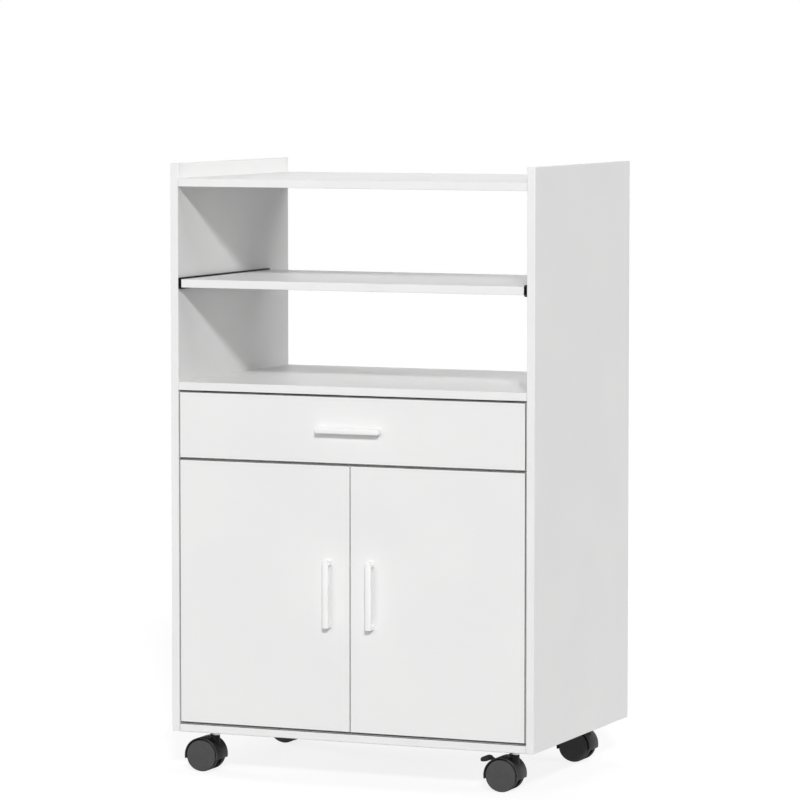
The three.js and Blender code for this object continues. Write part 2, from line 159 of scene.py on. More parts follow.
def add_sky():
    world = bpy.data.worlds.new("studio")
    bpy.context.scene.world = world
    world.use_nodes = True
    nodes = Nodes(world.node_tree)
    background = world.node_tree.nodes["Background"]
    lit = nodes.math("MULTIPLY_ADD", seen_directly(nodes), 1.0 - SKY_STRENGTH)
    lit.node.inputs[2].default_value = SKY_STRENGTH
    nodes.feed(background.inputs["Color"], (1.0, 1.0, 1.0, 1.0))
    nodes.feed(background.inputs["Strength"], lit)


def add_floor():
    bm = bmesh.new()
    bmesh.ops.create_circle(bm, cap_ends=True, segments=96, radius=FLOOR_RADIUS)
    mesh = bpy.data.meshes.new("floor")
    bm.to_mesh(mesh)
    bm.free()
    material = bpy.data.materials.new("pale_floor")
    material.use_nodes = True
    tree = material.node_tree
    tree.nodes.remove(tree.nodes["Principled BSDF"])
    nodes = Nodes(tree)
    pale = nodes.add("ShaderNodeBsdfDiffuse", {"Color": (FLOOR_TONE, FLOOR_TONE, FLOOR_TONE, 1.0)})
    glow = nodes.add("ShaderNodeEmission", {"Strength": FLOOR_GLOW})
    bright = nodes.add("ShaderNodeAddShader", {0: pale.outputs[0], 1: glow.outputs[0]})
    inputs = {0: seen_directly(nodes), 1: pale.outputs[0], 2: bright.outputs[0]}
    shown = nodes.add("ShaderNodeMixShader", inputs)
    nodes.feed(tree.nodes["Material Output"].inputs["Surface"], shown.outputs[0])
    mesh.materials.append(material)
    floor = bpy.data.objects.new("floor", mesh)
    bpy.context.scene.collection.objects.link(floor)


# ---- Finishes ----


def grey(value, warm=0.0):
    return (value * (1.0 + warm), value, value * (1.0 - warm), 1.0)


class Finish(Nodes):
    """One finish of the cart: a Principled material and the record's slot it belongs to."""

    def __init__(self, name, slot, metallic=0.0):
        self.slot = slot
        self.material = bpy.data.materials.new(name)
        self.material.use_nodes = True
        super().__init__(self.material.node_tree)
        self.shader = self.tree.nodes["Principled BSDF"]
        self.shader.inputs["Metallic"].default_value = metallic
        self.place = self.add("ShaderNodeTexCoord").outputs["Object"]

    def stretched(self, stretch):
        inputs = {"Vector": self.place, "Scale": stretch}
        return self.add("ShaderNodeMapping", inputs).outputs["Vector"]

    def noise(self, size, detail=2.0, stretch=None):
        vector = self.stretched(stretch) if stretch else self.place
        inputs = {"Vector": vector, "Scale": 1.0 / size, "Detail": detail}
        return self.add("ShaderNodeTexNoise", inputs).outputs["Fac"]

    def cells(self, size):
        return self.add("ShaderNodeTexVoronoi", {"Vector": self.place, "Scale": 1.0 / size})

    def spread(self, value, low, high, start=0.3, end=0.7):
        """value from start to end becomes low to high, and stays there beyond."""
        inputs = {"Value": value, "From Min": start, "From Max": end, "To Min": low, "To Max": high}
        return self.add("ShaderNodeMapRange", inputs).outputs["Result"]

    def blend(self, factor, first, second):
        """first where factor is 0 and second where it is 1."""
        mix = self.add("ShaderNodeMix", {0: factor, 6: first, 7: second}, data_type="RGBA")
        return mix.outputs[2]

    def edge(self):
        """1 on the eased edges of a piece, broken up by noise. Most finishes show wear there, the moulded
        plastic a painted highlight.
        """
        marked = self.add("ShaderNodeAttribute", attribute_name="edge").outputs["Fac"]
        return self.math("MULTIPLY", marked, self.spread(self.noise(9 * MM), 0.15, 1.0))

    def bump(self, height, depth):
        inputs = {"Height": height, "Distance": depth, "Strength": 1.0}
        return self.add("ShaderNodeBump", inputs).outputs["Normal"]

    def set(self, color, roughness, normal):
        self.feed(self.shader.inputs["Base Color"], color)
        self.feed(self.shader.inputs["Roughness"], roughness)
        self.feed(self.shader.inputs["Normal"], normal)
        return self


def white_laminate():
    """Melamine foil: even white with a fine pearl grain and faint smudges."""
    f = Finish("white_laminate", "laminate")
    cloud = f.spread(f.noise(160 * MM, 3.0), 0.0, 1.0)
    foil = f.blend(cloud, grey(0.835), grey(0.86, 0.004))
    smudge = f.spread(f.noise(45 * MM, 4.0), 0.0, 1.0, 0.45, 0.8)
    grain = f.noise(0.9 * MM, 2.0)
    roughness = f.math("ADD", f.spread(grain, 0.36, 0.46), f.math("MULTIPLY", smudge, 0.07))
    return f.set(foil, roughness, f.bump(grain, 0.012 * MM))


def white_edge_band():
    """The thin band glued to the boards' edges, a little smoother, with wear at its corners."""
    f = Finish("white_edge_band", "laminate")
    grain = f.noise(1.4 * MM, 2.0)
    band = f.blend(f.spread(f.noise(70 * MM), 0.0, 1.0), grey(0.84), grey(0.87))
    edge_toned = f.blend(f.edge(), band, grey(0.74, 0.02))
    return f.set(edge_toned, f.spread(grain, 0.28, 0.4), f.bump(grain, 0.008 * MM))


def dark_joint():
    """Near-black painted shade for the fine gaps along the doors, the drawer front and the bottom panel, laid
    on the eased front edges that face them and mottled by noise."""
    f = Finish("dark_joint", "laminate")
    mottle = f.noise(6 * MM, 3.0)
    line = f.blend(f.spread(mottle, 0.0, 1.0), grey(0.03, 0.02), grey(0.06, 0.02))
    return f.set(line, f.spread(mottle, 0.55, 0.75), f.bump(f.noise(0.8 * MM), 0.02 * MM))


def raw_chipboard():
    """The chips of the core, bare where a board has no band, in bores and in grooves."""
    f = Finish("raw_chipboard", "laminate")
    chips = f.cells(2.6 * MM)
    tone = f.spread(chips.outputs["Color"], 0.0, 1.0, 0.1, 0.9)
    wood = f.blend(tone, (0.36, 0.23, 0.12, 1.0), (0.66, 0.49, 0.30, 1.0))
    dusty = f.blend(f.spread(f.noise(12 * MM, 3.0), 0.0, 0.4), wood, (0.72, 0.60, 0.44, 1.0))
    pits = f.math("ADD", chips.outputs["Distance"], f.noise(1.2 * MM, 3.0))
    return f.set(dusty, f.spread(tone, 0.8, 0.95, 0.0, 1.0), f.bump(pits, 0.25 * MM))


def painted_hardboard():
    """Thin hardboard with a white printed face and faint fibres under it."""
    f = Finish("painted_hardboard", "hardboard")
    fibre = f.noise(2.2 * MM, 4.0, (1.0, 1.0, 0.35))
    face = f.blend(f.spread(f.noise(120 * MM, 3.0), 0.0, 1.0), grey(0.77, 0.012), grey(0.81, 0.008))
    edge_toned = f.blend(f.edge(), face, (0.42, 0.30, 0.19, 1.0))
    return f.set(edge_toned, f.spread(fibre, 0.5, 0.66), f.bump(fibre, 0.02 * MM))


def white_enamel():
    """Powder coat of the handles: satin, with a slight orange peel."""
    f = Finish("white_enamel", "handle_enamel")
    f.shader.inputs["Specular IOR Level"].default_value = 0.5
    peel = f.noise(1.1 * MM, 1.0)
    coat = f.blend(f.spread(f.noise(25 * MM), 0.0, 1.0), grey(0.9), grey(0.93))
    touched = f.blend(f.math("MULTIPLY", f.edge(), 0.4), coat, grey(0.78, 0.01))
    roughness = f.spread(f.noise(14 * MM, 3.0), 0.34, 0.42)
    return f.set(touched, roughness, f.bump(peel, 0.0015 * MM))


def black_slide():
    """Black electrocoated steel, rubbed along its travel and on its edges."""
    f = Finish("black_slide", "slide_black")
    f.shader.inputs["Specular IOR Level"].default_value = 0.15
    rub = f.noise(1.1 * MM, 3.0, (1.0, 0.02, 1.0))
    base = f.blend(f.spread(rub, 0.0, 1.0, 0.5, 0.8), grey(0.006), grey(0.013))
    edge_toned = f.blend(f.math("MULTIPLY", f.edge(), 0.35), base, grey(0.06))
    return f.set(edge_toned, f.spread(rub, 0.34, 0.52), f.bump(rub, 0.01 * MM))


def zinc_plate():
    """Zinc plated steel: faint spangle and fine drawing marks."""
    f = Finish("zinc_plate", "zinc", metallic=1.0)
    spangle = f.spread(f.cells(4 * MM).outputs["Color"], 0.0, 1.0, 0.1, 0.9)
    drawn = f.noise(0.5 * MM, 2.0, (1.0, 0.06, 1.0))
    plate = f.blend(spangle, grey(0.5), grey(0.6, -0.01))
    edge_toned = f.blend(f.math("MULTIPLY", f.edge(), 0.5), plate, grey(0.75))
    roughness = f.math("ADD", f.spread(spangle, 0.24, 0.34, 0.0, 1.0), f.spread(drawn, 0.0, 0.1))
    return f.set(edge_toned, roughness, f.bump(drawn, 0.006 * MM))


def bright_screw():
    """Bright zinc of the screws, cam locks and nails."""
    f = Finish("bright_screw", "zinc", metallic=1.0)
    patch = f.noise(1.5 * MM, 3.0)
    plate = f.blend(f.spread(patch, 0.0, 1.0), grey(0.52), grey(0.68, -0.012))
    return f.set(plate, f.spread(patch, 0.2, 0.38), f.bump(patch, 0.01 * MM))


def moulded_plastic(name, dark, light):
    """Moulded plastic of the caster hoods and brake levers, with a fine spark-eroded grain and a light grey
    painted highlight along its eased edges and rims.
    """
    f = Finish(name, "hood_plastic")
    f.shader.inputs["Specular IOR Level"].default_value = 0.12
    grain = f.noise(0.5 * MM, 2.0)
    flow = f.noise(18 * MM, 2.0)
    base = f.blend(f.spread(flow, 0.0, 1.0), grey(dark), grey(light))
    # Light grey on the eased edges and rims: a painted highlight that stands in for the lit rim of the hood.
    edge_toned = f.blend(f.math("MULTIPLY", f.edge(), 0.9), base, grey(0.13))
    roughness = f.math("ADD", f.spread(grain, 0.36, 0.48), f.spread(flow, 0.0, 0.05))
    return f.set(edge_toned, roughness, f.bump(grain, 0.02 * MM))


def grey_wheel():
    """Charcoal plastic of the wheels: satin discs, a scuffed and dusty tread."""
    f = Finish("grey_wheel", "wheel_plastic")
    f.shader.inputs["Specular IOR Level"].default_value = 0.2
    grain = f.noise(0.6 * MM, 2.0)
    scuff = f.noise(3 * MM, 4.0)
    base = f.blend(f.spread(f.noise(14 * MM), 0.0, 1.0), grey(0.06), grey(0.07))
    tread = f.add("ShaderNodeAttribute", attribute_name="tread").outputs["Fac"]
    darker = f.blend(tread, base, grey(0.01))
    mottle = f.math("MULTIPLY", tread, f.spread(scuff, 0.02, 0.3, 0.45, 0.75))
    dusty = f.blend(mottle, darker, (0.12, 0.115, 0.105, 1.0))
    roughness = f.math("ADD", f.spread(grain, 0.42, 0.55), f.math("MULTIPLY", tread, 0.2))
    return f.set(dusty, roughness, f.bump(f.math("ADD", grain, mottle), 0.02 * MM))


def white_plastic():
    """Injection moulded white plastic of the catch."""
    f = Finish("white_plastic", "catch_plastic")
    grain = f.noise(0.7 * MM, 2.0)
    base = f.blend(f.spread(f.noise(9 * MM), 0.0, 1.0), grey(0.76, 0.01), grey(0.81, 0.01))
    return f.set(base, f.spread(grain, 0.38, 0.5), f.bump(grain, 0.012 * MM))


# ---- Mesh helpers ----

FLAT = math.radians(0.5)  # faces that turn less than this against each other are one


def mesh_from(bm):
    """The bmesh as a mesh. The bmesh goes."""
    mesh = bpy.data.meshes.new("part")
    bm.to_mesh(mesh)
    bm.free()
    return mesh


def flatten(bm):
    """Makes each flat side one face."""
    bmesh.ops.dissolve_limit(bm, angle_limit=FLAT, verts=bm.verts, edges=bm.edges)


def merged_copy(node):
    """A CAD node's mesh with its shared corners merged and its flat faces whole."""
    bm = bmesh.new()
    bm.from_mesh(frame["nodes"][node].data)
    bmesh.ops.remove_doubles(bm, verts=bm.verts, dist=TOUCH)
    flatten(bm)
    bm.loops.layers.float.new("edge")
    return bm


def ease(bm, edges, width, segments=2):
    """Rounds these edges and marks the new faces, where most finishes show wear and the moulded plastic a
    painted highlight.
    """
    marks = bm.loops.layers.float["edge"]
    made = bmesh.ops.bevel(
        bm,
        geom=edges,
        offset=width,
        offset_type="OFFSET",
        segments=segments,
        profile=0.5,
        affect="EDGES",
        clamp_overlap=True,
    )
    for face in made["faces"]:
        face.smooth = True
        for loop in face.loops:
            loop[marks] = 1.0
    return made["faces"]


def sharp_edges(bm, angle=30):
    """The edges between faces that turn by more than this many degrees."""
    limit = math.radians(angle)
    return [e for e in bm.edges if len(e.link_faces) == 2 and e.calc_face_angle(0.0) > limit]


def softened(mesh, width, segments=2, angle=30):
    """The mesh with every sharp edge eased."""
    bm = bmesh.new()
    bm.from_mesh(mesh)
    if not bm.loops.layers.float.get("edge"):
        bm.loops.layers.float.new("edge")
    flatten(bm)
    ease(bm, sharp_edges(bm, angle), width, segments)
    return mesh_from(bm)


def plain_mesh(obj):
    """What obj's modifiers make of it, as a mesh of its own."""
    ready = obj.evaluated_get(bpy.context.evaluated_depsgraph_get())
    return bpy.data.meshes.new_from_object(ready)


def linked(name, mesh):
    """A new object of the scene with this mesh."""
    obj = bpy.data.objects.new(name, mesh)
    bpy.context.scene.collection.objects.link(obj)
    return obj


def combined(operation, base, *tools):
    """The base mesh after each tool mesh is joined to it (UNION), cut from it (DIFFERENCE) or kept in
    common with it (INTERSECT)."""
    whole = linked("base", base)
    helpers = [linked("tool", tool) for tool in tools]
    for helper in helpers:
        step = whole.modifiers.new("step", "BOOLEAN")
        step.operation = operation
        step.solver = "EXACT"
        step.object = helper
    bm = bmesh.new()
    bm.from_mesh(plain_mesh(whole))
    bmesh.ops.dissolve_degenerate(bm, dist=TOUCH / 10, edges=bm.edges)
    for used in (whole, *helpers):
        bpy.data.objects.remove(used)
    return mesh_from(bm)


def prism(outline, axis, low, high):
    """A closed prism. The outline is in the other two axes, in their order, and runs along this one."""
    bm = bmesh.new()
    ends = []
    for level in (low, high):
        ring = []
        for a, b in outline:
            place = [a, b]
            place.insert(axis, level)
            ring.append(bm.verts.new(place))
        ends.append(ring)
        bm.faces.new(ring)
    for i in range(len(outline)):
        j = i - 1
        bm.faces.new((ends[0][j], ends[0][i], ends[1][i], ends[1][j]))
    bmesh.ops.recalc_face_normals(bm, faces=bm.faces)
    return mesh_from(bm)


def box(low, high):
    outline = [(low[X], low[Y]), (high[X], low[Y]), (high[X], high[Y]), (low[X], high[Y])]
    return prism(outline, Z, low[Z], high[Z])


def arc(centre, radius, start, end, steps):
    """Points on an arc, with its angles in degrees."""
    angles = [math.radians(start + (end - start) * i / steps) for i in range(steps + 1)]
    return [(centre[0] + radius * math.cos(a), centre[1] + radius * math.sin(a)) for a in angles]


def turned(profile, centre, axis, steps, marked=()):
    """A closed solid of revolution about an axis through centre. The profile runs from that axis out and
    back to it, as (radius, distance along the axis). Spans of it listed in marked get "tread" 1."""
    bm = bmesh.new()
    tread = bm.loops.layers.float.new("tread")
    rings = []
    for radius, along in profile:
        turns = [2 * math.pi * k / steps for k in range(steps if radius > 0 else 1)]
        ring = []
        for turn in turns:
            place = [radius * math.cos(turn), radius * math.sin(turn)]
            place.insert(axis, along)
            ring.append(bm.verts.new(Vector(centre) + Vector(place)))
        rings.append(ring)
    for span, (first, second) in enumerate(zip(rings, rings[1:])):
        for k in range(steps):
            corners = []
            for ring, turns in ((first, (k - 1, k)), (second, (k, k - 1))):
                corners += ring if len(ring) == 1 else [ring[turn] for turn in turns]
            face = bm.faces.new(corners)
            for loop in face.loops:
                loop[tread] = float(span in marked)
    bmesh.ops.recalc_face_normals(bm, faces=bm.faces)
    return mesh_from(bm)


def smooth(mesh, angle=35):
    """Shaded smooth, but for edges sharper than this many degrees."""
    mesh.shade_smooth()
    mesh.set_sharp_from_angle(angle=math.radians(angle))
    return mesh


def fit_piece(name, mesh, body, *finishes):
    """Makes the mesh a piece that moves with a body, in these finishes."""
    if mesh.materials:
        mesh.materials.clear()
    for finish in finishes:
        mesh.materials.append(finish.material)
    mesh.name = name
    piece = linked(name, mesh)
    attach(piece, body)
    return piece


def stand_in(node, kind, mesh, *finishes):
    """A piece that takes the place of a CAD node and moves with its body."""
    piece = fit_piece(f"{node}_{kind}", mesh, body_of_node[node], *finishes)
    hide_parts(node)
    return piece


# ---- Boards ----

BOARD_EASE = 0.5 * MM
# Wider ease of the front edges that carry the painted gap shade
GAP_SHADE_EASE = 0.9 * MM
THIN_EASE = 0.3 * MM
FOIL, BAND, CORE, GAP_SHADE = 0, 1, 2, 3  # places of the finishes in a board's list

SHELF_ENDS = {(X, LOW), (X, HIGH)}

# Each board with its edges that have no band: those that butt on another board or face the floor
BOARDS = {
    "left_side_panel": {(Z, LOW)},
    "right_side_panel": {(Z, LOW)},
    "top_shelf": SHELF_ENDS,
    "fixed_shelf": SHELF_ENDS | {(Y, HIGH)},
    "bottom_panel": SHELF_ENDS | {(Y, HIGH)},
    "divider_rail": SHELF_ENDS | {(Y, HIGH)},
    "pull_out_shelf": set(),
    "drawer_front": set(),
    "left_door": set(),
    "right_door": set(),
    "drawer_side_left": {(Y, LOW), (Y, HIGH)},
    "drawer_side_right": {(Y, LOW), (Y, HIGH)},
    "drawer_back": SHELF_ENDS | {(Z, LOW)},
}


def sides_at(place, low, high, reach=TOUCH):
    """The sides of a node's box that a point lies within reach of, as (axis, end)."""
    return {
        (axis, end)
        for axis in (X, Y, Z)
        for end, limit in ((LOW, low), (HIGH, high))
        if abs(place[axis] - limit[axis]) < reach
    }


def box_edges(bm, low, high):
    """The edges where two sides of a node's box meet."""
    found = []
    for edge in bm.edges:
        shared = [sides_at(v.co, low, high) for v in edge.verts]
        if len(shared[0] & shared[1]) == 2:
            found.append(edge)
    return found


# The sides along which the eased front edge carries near-black painted shade for the gap
GAP_SHADED_SIDES = {
    "drawer_front": {(X, LOW), (X, HIGH), (Z, LOW), (Z, HIGH)},
    "left_door": {(X, LOW), (Z, LOW), (Z, HIGH)},
    "right_door": {(X, HIGH), (Z, LOW), (Z, HIGH)},
    "bottom_panel": {(Z, HIGH)},
}


def add_board(node, bare, foil, band, core, gap_shade_finish):
    """Foil on the two large faces, band round the edges, and bare core in bores, grooves and bare edges."""
    low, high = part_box(node)
    size = high - low
    thin = min((X, Y, Z), key=lambda axis: size[axis])
    bm = merged_copy(node)
    gap_shaded = GAP_SHADED_SIDES.get(node, set())
    eased = set(ease(bm, box_edges(bm, low, high), GAP_SHADE_EASE if gap_shaded else BOARD_EASE))
    for face in bm.faces:
        centre = face.calc_center_median()
        side = sides_at(centre, low, high)
        along = sides_at(centre, low, high, GAP_SHADE_EASE)
        if face in eased:
            # Eased front edges that face a gap take the near-black painted shade.
            in_gap_shade = (Y, LOW) in along and along & gap_shaded
            face.material_index = GAP_SHADE if in_gap_shade else BAND
        elif not side or side & bare:
            face.material_index = CORE
        elif side & {(thin, LOW), (thin, HIGH)}:
            face.material_index = FOIL
        else:
            face.material_index = BAND
    finishes = (foil, band, core, gap_shade_finish) if gap_shaded else (foil, band, core)
    stand_in(node, "board", mesh_from(bm), *finishes)


def add_boards(foil, band, core, gap_shade_finish, hardboard):
    for node, bare in BOARDS.items():
        add_board(node, bare, foil, band, core, gap_shade_finish)
    for node in ("drawer_bottom", "back_panel"):
        bm = merged_copy(node)
        ease(bm, sharp_edges(bm), THIN_EASE)
        stand_in(node, "sheet", mesh_from(bm), hardboard)


# ---- Handles ----

HANDLE_BAR = 5 * MM  # thickness of the bar
HANDLE_FOOT = 8 * MM  # length of either foot along the bar
HANDLE_OUTER_CORNER = 0.8 * MM
HANDLE_INNER_CORNER = 2.5 * MM
HANDLE_FRONT_ROUND = 1.2 * MM
HANDLE_CROWN = 16  # degrees that the curved front turns towards either side
HANDLE_BACK_ROUND = 0.6 * MM
HANDLE_SHARP = 50  # degrees from which an edge of a handle is shaded sharp


def handle_section(depth, width):
    """Curved at the front, nearly square at the back: (depth, across) from the back face outwards."""
    front, back = HANDLE_FRONT_ROUND, HANDLE_BACK_ROUND
    half = width / 2
    turn = math.radians(HANDLE_CROWN)
    crown = (half - front) / math.sin(turn) + front
    corner = depth - crown + (crown - front) * math.cos(turn)
    return (
        arc((corner, half - front), front, 90, HANDLE_CROWN, 4)
        + arc((depth - crown, 0.0), crown, HANDLE_CROWN, -HANDLE_CROWN, 8)[1:-1]
        + arc((corner, front - half), front, -HANDLE_CROWN, -90, 4)
        + arc((back, back - half), back, 270, 180, 3)
        + arc((back, half - back), back, 180, 90, 3)
    )


def handle_stations(length, projection):
    """Pairs of points on the back and the front of the bar, as (along, out), from foot to foot."""
    half = length / 2
    under = projection - HANDLE_BAR
    foot = half - HANDLE_FOOT
    inner, outer = HANDLE_INNER_CORNER, HANDLE_OUTER_CORNER
    back = [(foot, 0.0)] + arc((foot - inner, under - inner), inner, 0, 90, 8)
    front = [(half, 0.0)] + arc((half - outer, projection - outer), outer, 0, 90, 8)
    side = list(zip(back, front))
    mirrored = [((-b[0], b[1]), (-f[0], f[1])) for b, f in reversed(side)]
    return side + mirrored


def add_handle(node, along, enamel):
    """A bar handle along X or Z, swept from its outline, in the CAD handle's box."""
    low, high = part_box(node)
    across = X if along == Z else Z
    centre = middle(node)
    bm = bmesh.new()
    marks = bm.loops.layers.float.new("edge")
    rings = []
    for back, front in handle_stations(high[along] - low[along], high.y - low.y):
        back, front = Vector(back), Vector(front)
        out = (front - back).normalized()
        ring = []
        for depth, aside in handle_section((front - back).length, high[across] - low[across]):
            spot = back + out * depth
            place = centre.copy()
            place[along] += spot.x
            place[across] += aside
            place.y = high.y - spot.y
            ring.append(bm.verts.new(place))
        rings.append(ring)
    for first, second in zip(rings, rings[1:]):
        for i in range(len(first)):
            bm.faces.new((first[i - 1], first[i], second[i], second[i - 1]))
    feet = [bm.faces.new(rings[0]), bm.faces.new(rings[-1])]
    bmesh.ops.recalc_face_normals(bm, faces=bm.faces)
    for face in feet:
        for loop in face.loops:
            loop[marks] = 1.0
    stand_in(node, "bar", smooth(mesh_from(bm), HANDLE_SHARP), enamel)


def add_handles(enamel):
    add_handle("drawer_handle", X, enamel)
    for side, _ in SIDES:
        add_handle(f"{side}_door_handle", Z, enamel)


# ---- Slides, hinges and catch ----

STEEL_EASE = 0.25 * MM
CATCH_EASE = 0.8 * MM
MAGNET = Vector((9, 1.2, 7)) * MM
MAGNET_FROM_MIDDLE = 13 * MM
MAGNET_PROUD = 0.3 * MM
MAGNET_EASE = 0.2 * MM


def add_eased_copy(node, kind, width, finish):
    """A copy of a CAD node with its sharp edges rounded by this width."""
    bm = merged_copy(node)
    ease(bm, sharp_edges(bm), width)
    stand_in(node, kind, smooth(mesh_from(bm)), finish)


def add_hardware(black, zinc, plastic):
    for side, _ in SIDES:
        for slide in ("shelf_slide", "drawer_slide"):
            for member in ("outer", "inner"):
                add_eased_copy(f"{side}_{slide}_{member}", "channel", STEEL_EASE, black)
        for level in ("upper", "lower"):
            add_eased_copy(f"{side}_{level}_hinge_cup", "pressing", STEEL_EASE, zinc)
            add_eased_copy(f"{side}_{level}_hinge_arm", "pressing", STEEL_EASE, zinc)
        add_eased_copy(f"{side}_strike_plate", "plate", STEEL_EASE, zinc)
    add_eased_copy("magnetic_catch", "body", CATCH_EASE, plastic)


def add_magnets(zinc):
    """Two steel pole pieces that stand a little out of the front of the catch."""
    centre = middle("magnetic_catch")
    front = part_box("magnetic_catch")[LOW].y
    proud = Vector((0.0, MAGNET_PROUD, 0.0))
    poles = []
    for x in (-MAGNET_FROM_MIDDLE, MAGNET_FROM_MIDDLE):
        spot = Vector((centre.x + x, front, centre.z))
        pole = box(spot - MAGNET / 2 - proud, spot + MAGNET / 2 - proud)
        poles.append(softened(pole, MAGNET_EASE))
    fit_piece("magnet_poles", smooth(joined_shells(poles)), "cabinet", zinc)


def joined_shells(meshes):
    """Separate closed shells as one mesh."""
    bm = bmesh.new()
    for mesh in meshes:
        bm.from_mesh(mesh)
    return mesh_from(bm)


# ---- Casters ----

WHEEL_EDGE = 0.8 * MM
WHEEL_DISC = 24.1 * MM  # radius of the disc that stands proud of the tread's shoulder
WHEEL_DISC_EDGE = 0.5 * MM
WHEEL_DISC_HOLLOW = 0.5 * MM  # middle of the disc behind its edge
WHEEL_HALF_HOLLOW = 0.35 * MM  # the same, halfway out
WHEEL_SHOULDER = 3.0 * MM  # shoulder of the tread behind the disc's face
WHEEL_WALL = 4 * MM  # thickness of the rim and of the disc over the axle
WHEEL_HUB = 8 * MM
WHEEL_HUB_TAPER = 0.7 * MM
WHEEL_DISH = 5 * MM  # floor of the hollow inside, behind the disc's face
WHEEL_DISH_ROUND = 1.2 * MM
WHEEL_CHAMFER = 0.4 * MM
WHEEL_STEPS = 96
WHEEL_RIBS = 12
RIB_THICKNESS = 1.1 * MM
RIB_OVERLAP = 0.2 * MM  # ribs into the floor of the hollow
RIB_INTO_HUB = 0.5 * MM
RIB_SHORT = 2.5 * MM  # ribs end this far inside the wheel's inner end
HOOD_SWELL = 0.5 * MM  # outer radius past the CAD hood's
HOOD_WALL = 1.7 * MM
HOOD_DROP = 5.5 * MM  # lower edge of the hood below the axle
HOOD_WEB = 12 * MM
HOOD_LIP = 0.6 * MM
HOOD_STEPS = 64
WEB_EASE = 0.4 * MM
BOSS_RADIUS = 7.2 * MM
BOSS_EDGE = 1.0 * MM
BOSS_RISE = 1.0 * MM  # foot of the boss above the lower edge of the hood
BORE_STEPS = 40
PIN_BORE = 4.4 * MM
AXLE_BORE = 3.4 * MM
RACEWAY_RADIUS = 8.4 * MM
RACEWAY_GAP = 0.6 * MM
RACEWAY_FLANGE = 1.6 * MM
RACEWAY_ROUND = 1.5 * MM
PLATE_THICKNESS = 2 * MM
PLATE_CORNER = 4 * MM
PLATE_EASE = 0.4 * MM
KINGPIN_RADIUS = 4 * MM
KINGPIN_CHAMFER = 0.5 * MM
BAR_CHAMFER = 0.3 * MM
BAR_STEPS = 48
LEVER_PADDLE_WIDTH = 16 * MM
LEVER_PADDLE_LENGTH = 18 * MM
LEVER_PADDLE_EASE = 0.7 * MM
LEVER_TIP_ROUND = 5 * MM
LEVER_BACK_ROUND = 3 * MM
LEVER_TIP_SPARE = 0.1 * MM
LEVER_NECK_WIDTH = 8 * MM
LEVER_NECK_EASE = 0.5 * MM
LEVER_BARREL_RADIUS = 3.2 * MM
LEVER_BARREL_PROUD = 0.2 * MM  # barrel past either side of the neck
LEVER_PIN_RADIUS = 1.4 * MM
SLOT_SIDE_GAP = 0.5 * MM
SLOT_BELOW = 1.5 * MM
SLOT_ABOVE = 6 * MM
SLOT_FORWARD = 19 * MM
SLOT_BACKWARD = 2 * MM


def wheel_profile(radius, width):
    """The disc, the tread and the hollow inner side with the hub and its bore, from the middle of the outer
    face to the end of the bore, as (radius, distance inwards)."""
    rounding = WHEEL_DISC_EDGE
    edge = WHEEL_EDGE
    rim = radius - WHEEL_WALL
    disc = [
        (0.0, WHEEL_DISC_HOLLOW),
        (WHEEL_DISC * 0.5, WHEEL_HALF_HOLLOW),
        *arc((WHEEL_DISC - rounding, rounding), rounding, -90, 0, 4),
        (WHEEL_DISC, WHEEL_SHOULDER),
    ]
    tread = [
        *arc((radius - edge, WHEEL_SHOULDER + edge), edge, -90, 0, 5),
        *arc((radius - edge, width - edge), edge, 0, 90, 5),
    ]
    hollow = [
        (rim + WHEEL_CHAMFER, width),
        (rim, width - WHEEL_CHAMFER),
        (rim - 0.6 * MM, WHEEL_DISH + 1.0 * MM),
        (rim - 1.6 * MM, WHEEL_DISH),
        (WHEEL_HUB + WHEEL_DISH_ROUND, WHEEL_DISH),
        (WHEEL_HUB, WHEEL_DISH + WHEEL_DISH_ROUND),
        (WHEEL_HUB - 0.3 * MM, width - WHEEL_CHAMFER),
        (WHEEL_HUB - WHEEL_HUB_TAPER, width),
        (AXLE_BORE, width),
        (AXLE_BORE, WHEEL_WALL),
        (0.0, WHEEL_WALL),
    ]
    return disc, tread, hollow


def add_wheel(node, outward, ribs, plastic):
    """A wheel whose outer face is at the end of its box that outward (-1 or 1 along Y) points to."""
    low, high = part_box(node)
    radius = (high.z - low.z) / 2
    width = high.y - low.y
    disc, tread, hollow = wheel_profile(radius, width)
    placed = [(r, -outward * y) for r, y in disc + tread + hollow]
    centre = middle(node)
    centre.y = low.y if outward < 0 else high.y
    treads = range(len(disc), len(disc) + len(tread) + 1)  # with the rim's inner side and its chamfer
    wheel = linked("wheel", smooth(turned(placed, centre, Y, WHEEL_STEPS, treads)))
    rib_low = WHEEL_DISH - RIB_OVERLAP
    rib_high = width - RIB_SHORT
    settings = {
        "Count": WHEEL_RIBS,
        "Hub Radius": WHEEL_HUB - RIB_INTO_HUB,
        "Rim Radius": radius - WHEEL_WALL,
        "Thickness": RIB_THICKNESS,
        "Depth": rib_high - rib_low,
        "Centre": centre - Vector((0.0, outward * (rib_low + rib_high) / 2, 0.0)),
        "Finish": plastic.material,
    }
    mesh = grown(wheel, ribs, settings)
    stand_in(node, "twin_wheel", smooth(mesh), plastic)


def lower_cut_angle(radius):
    """Degrees below the axle's level at which an arc of this radius meets the hood's lower edge."""
    return math.degrees(math.asin(HOOD_DROP / radius))


